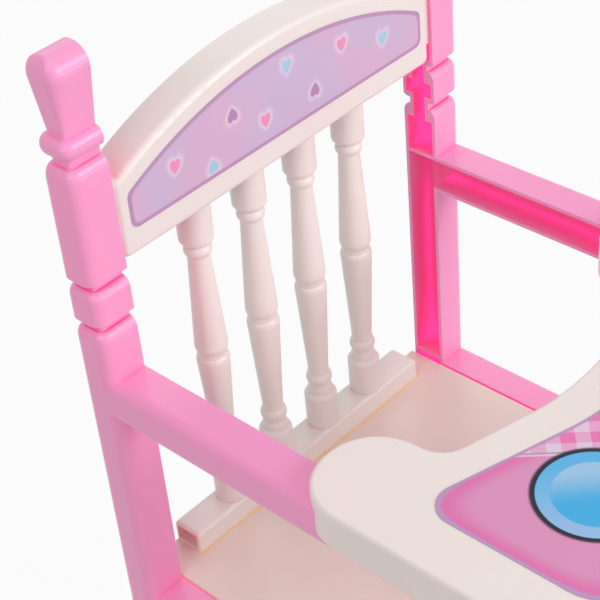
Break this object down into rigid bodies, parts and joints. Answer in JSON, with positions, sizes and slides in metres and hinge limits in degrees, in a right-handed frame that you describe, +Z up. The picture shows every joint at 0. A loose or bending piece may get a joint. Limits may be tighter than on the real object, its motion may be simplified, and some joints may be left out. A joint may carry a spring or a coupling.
{
  "type": "doll high chair",
  "caption": "Toy high chair for a doll: open side frames with turned posts, spindle back, arched top rail, seat, footrest and a sliding tray.",
  "frame": {"origin": "on the floor, at the middle of the chair's width and of its depth", "axes": "+Z up, +X to the right of someone who looks at the chair from the front, +Y towards the back rest"},
  "size_m": [0.296, 0.3682, 0.6169],
  "materials": {
    "pink_plastic": "smooth satin-gloss injection-moulded pink plastic",
    "cream_plastic": "smooth satin-gloss injection-moulded cream plastic",
    "crest_print": "printed lilac film with small hearts",
    "tray_print": "printed pink film with a plate and a checked napkin",
    "glide_plastic": "matt cream plastic",
    "screw_steel": "zinc-plated steel"
  },
  "bodies": {
    "chair": {"side_frame_right": "pink_plastic", "side_frame_left": "pink_plastic", "crest_rail": "cream_plastic", "crest_label": "crest_print", "spindle_1": "cream_plastic", "spindle_2": "cream_plastic", "spindle_3": "cream_plastic", "spindle_4": "cream_plastic", "back_bottom_rail": "cream_plastic", "seat_panel": "cream_plastic", "footrest": "cream_plastic", "front_stretcher": "cream_plastic", "rear_stretcher": "cream_plastic", "leg_cap_front_right": "glide_plastic", "leg_cap_front_left": "glide_plastic", "leg_cap_rear_right": "glide_plastic", "leg_cap_rear_left": "glide_plastic", "crest_screws": "screw_steel", "seat_screws": "screw_steel", "stretcher_screws": "screw_steel", "footrest_screws": "screw_steel", "back_rail_screws": "screw_steel"},
    "tray": {"tray": "cream_plastic", "tray_label": "tray_print", "tray_clip_right": "cream_plastic", "tray_clip_left": "cream_plastic", "tray_clip_screws": "screw_steel"}
  },
  "joints": [
    {"name": "tray_slide", "type": "slide", "parent": "chair", "child": "tray", "axis": [0, -1, 0], "range_m": [0, 0.05]}
  ]
}
